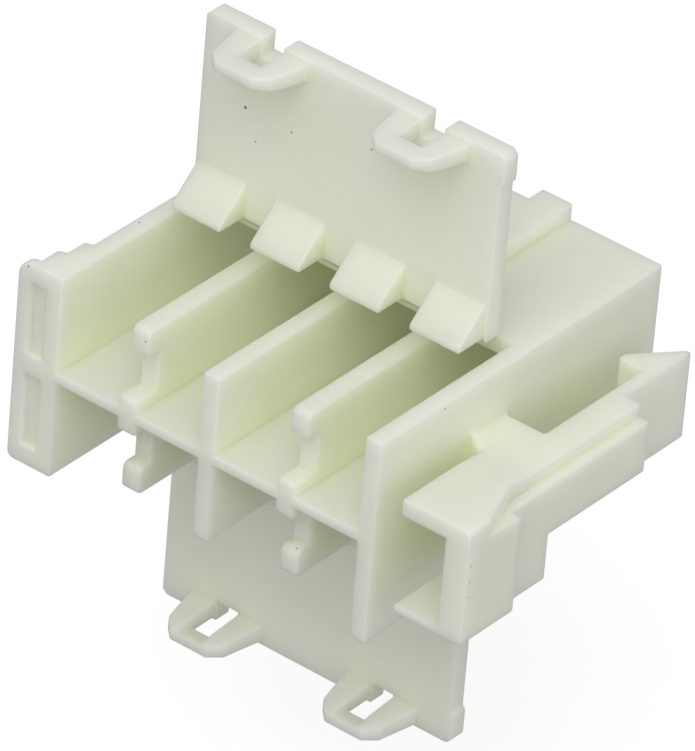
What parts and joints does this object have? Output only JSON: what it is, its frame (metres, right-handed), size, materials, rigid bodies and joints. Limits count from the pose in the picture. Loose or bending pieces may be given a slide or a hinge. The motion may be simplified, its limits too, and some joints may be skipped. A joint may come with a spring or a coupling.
{
  "type": "cable connector housing",
  "caption": "Small moulded cable connector housing with wire channels, two film-hinged covers that clip shut and a side latch lever.",
  "frame": {"origin": "centre of the mating face, where the centre wall and the middle plate cross", "axes": "+Y out of the mating face towards the counterpart, -Y towards the wires, +Z to the side with the key, +X to the latch lever"},
  "size_m": [0.0283, 0.0221, 0.0348],
  "materials": {
    "natural_plastic": "translucent off-white natural plastic with a soft satin surface"
  },
  "bodies": {
    "housing": {"housing": "natural_plastic", "upper_film_hinge": "natural_plastic", "lower_film_hinge": "natural_plastic", "latch_bridge": "natural_plastic"},
    "upper_cover": {"upper_cover": "natural_plastic"},
    "lower_cover": {"lower_cover": "natural_plastic"},
    "latch_lever": {"latch_lever": "natural_plastic"}
  },
  "joints": [
    {"name": "upper_cover_hinge", "type": "hinge", "parent": "housing", "child": "upper_cover", "pos_m": [0, -0.011, 0.00648], "axis": [1, 0, 0], "range_deg": [0, 90], "stiffness_Nm_per_rad": 0.0005, "deforming": ["upper_film_hinge"]},
    {"name": "lower_cover_hinge", "type": "hinge", "parent": "housing", "child": "lower_cover", "pos_m": [0, -0.011, -0.00648], "axis": [-1, 0, 0], "range_deg": [0, 90], "stiffness_Nm_per_rad": 0.0005, "deforming": ["lower_film_hinge"]},
    {"name": "latch_pivot", "type": "hinge", "parent": "housing", "child": "latch_lever", "pos_m": [0.0117, -0.0135, 0], "axis": [0, 0, -1], "range_deg": [0, 8], "stiffness_Nm_per_rad": 0.001, "deforming": ["latch_bridge"]}
  ]
}
